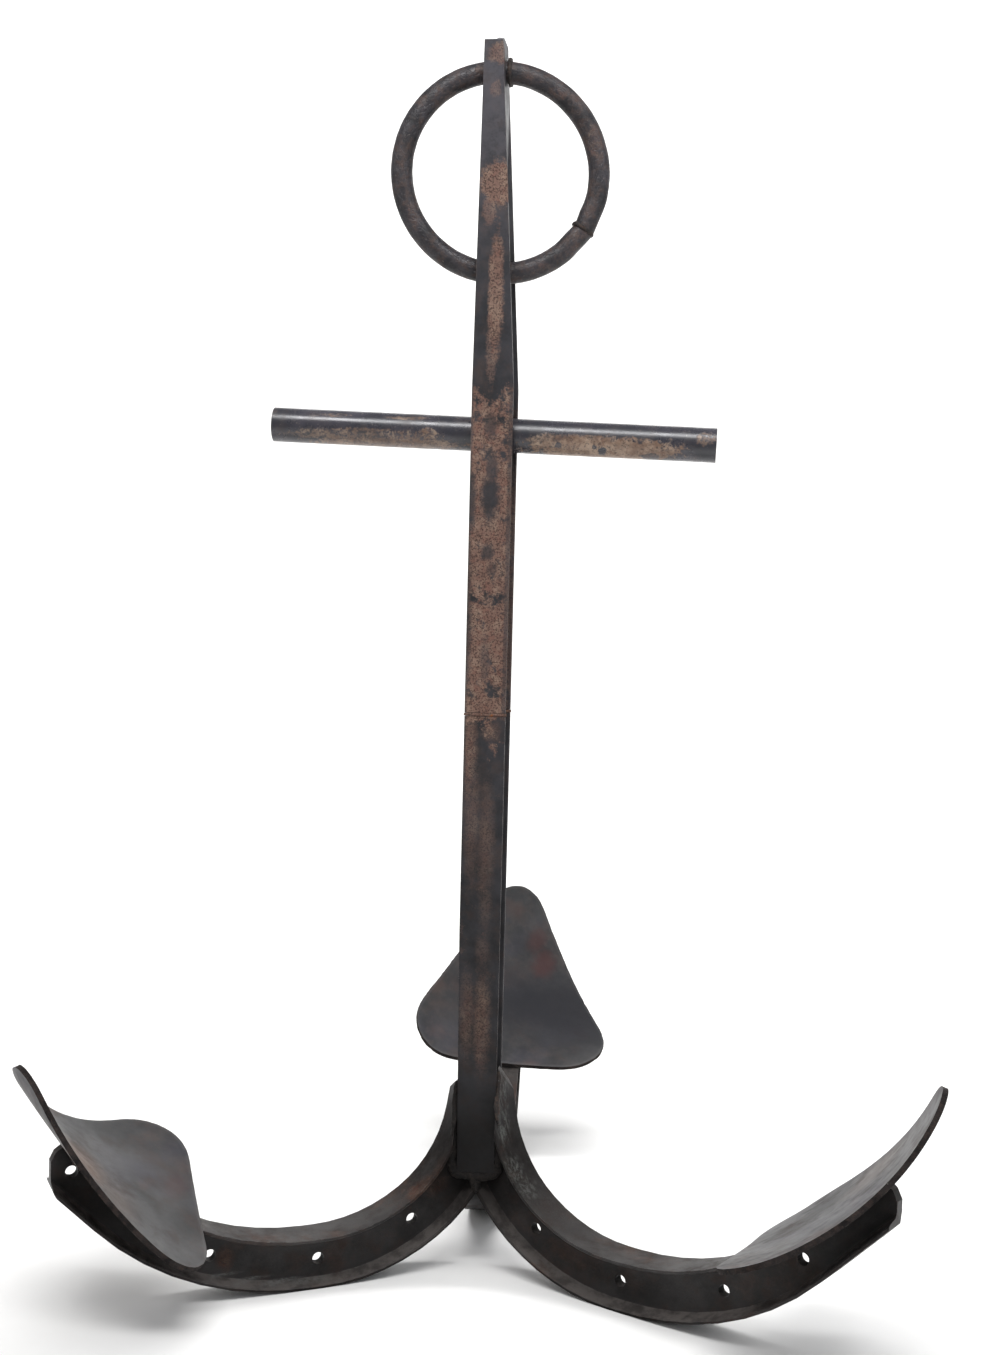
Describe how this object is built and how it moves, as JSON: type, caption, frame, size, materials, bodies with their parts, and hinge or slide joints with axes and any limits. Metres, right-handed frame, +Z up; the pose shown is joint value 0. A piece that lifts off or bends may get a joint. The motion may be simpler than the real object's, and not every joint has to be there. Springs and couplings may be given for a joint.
{
  "type": "anchor",
  "caption": "Tall welded steel anchor standing on curved I-section arms with bent triangular flukes, a pipe stock across the shank and a round ring through its head.",
  "frame": {"origin": "middle of the footprint, on the ground", "axes": "+Z up along the shank, +X to the right along the stock, +Y to the rear, the way the single arm points"},
  "size_m": [1.298, 1.2456, 1.8595],
  "materials": {
    "rusted_joist": "rust over dark mill scale",
    "scaled_bar": "blue-black mill scale with bare rusty patches",
    "fluke_plate": "smooth dark scale, torch-cut at the edges",
    "weld_metal": "rusty weld bead"
  },
  "bodies": {
    "root": {"arm_left": "rusted_joist", "arm_rear": "rusted_joist", "arm_right": "rusted_joist", "crown_seam_front": "weld_metal", "crown_seam_left": "weld_metal", "crown_seam_right": "weld_metal", "crown_weld_left": "weld_metal", "crown_weld_rear": "weld_metal", "crown_weld_right": "weld_metal", "fluke_left": "fluke_plate", "fluke_rear": "fluke_plate", "fluke_right": "fluke_plate", "fluke_weld_left_left": "weld_metal", "fluke_weld_left_right": "weld_metal", "fluke_weld_rear_left": "weld_metal", "fluke_weld_rear_right": "weld_metal", "fluke_weld_right_left": "weld_metal", "fluke_weld_right_right": "weld_metal", "ring": "scaled_bar", "ring_seam_weld": "weld_metal", "ring_weld_bottom_left": "weld_metal", "ring_weld_bottom_right": "weld_metal", "ring_weld_top_left": "weld_metal", "ring_weld_top_right": "weld_metal", "shank_lower": "rusted_joist", "shank_upper": "rusted_joist", "splice_weld": "weld_metal", "stock": "scaled_bar", "stock_weld_over_left": "weld_metal", "stock_weld_over_right": "weld_metal", "stock_weld_under_left": "weld_metal", "stock_weld_under_right": "weld_metal"}
  },
  "joints": []
}
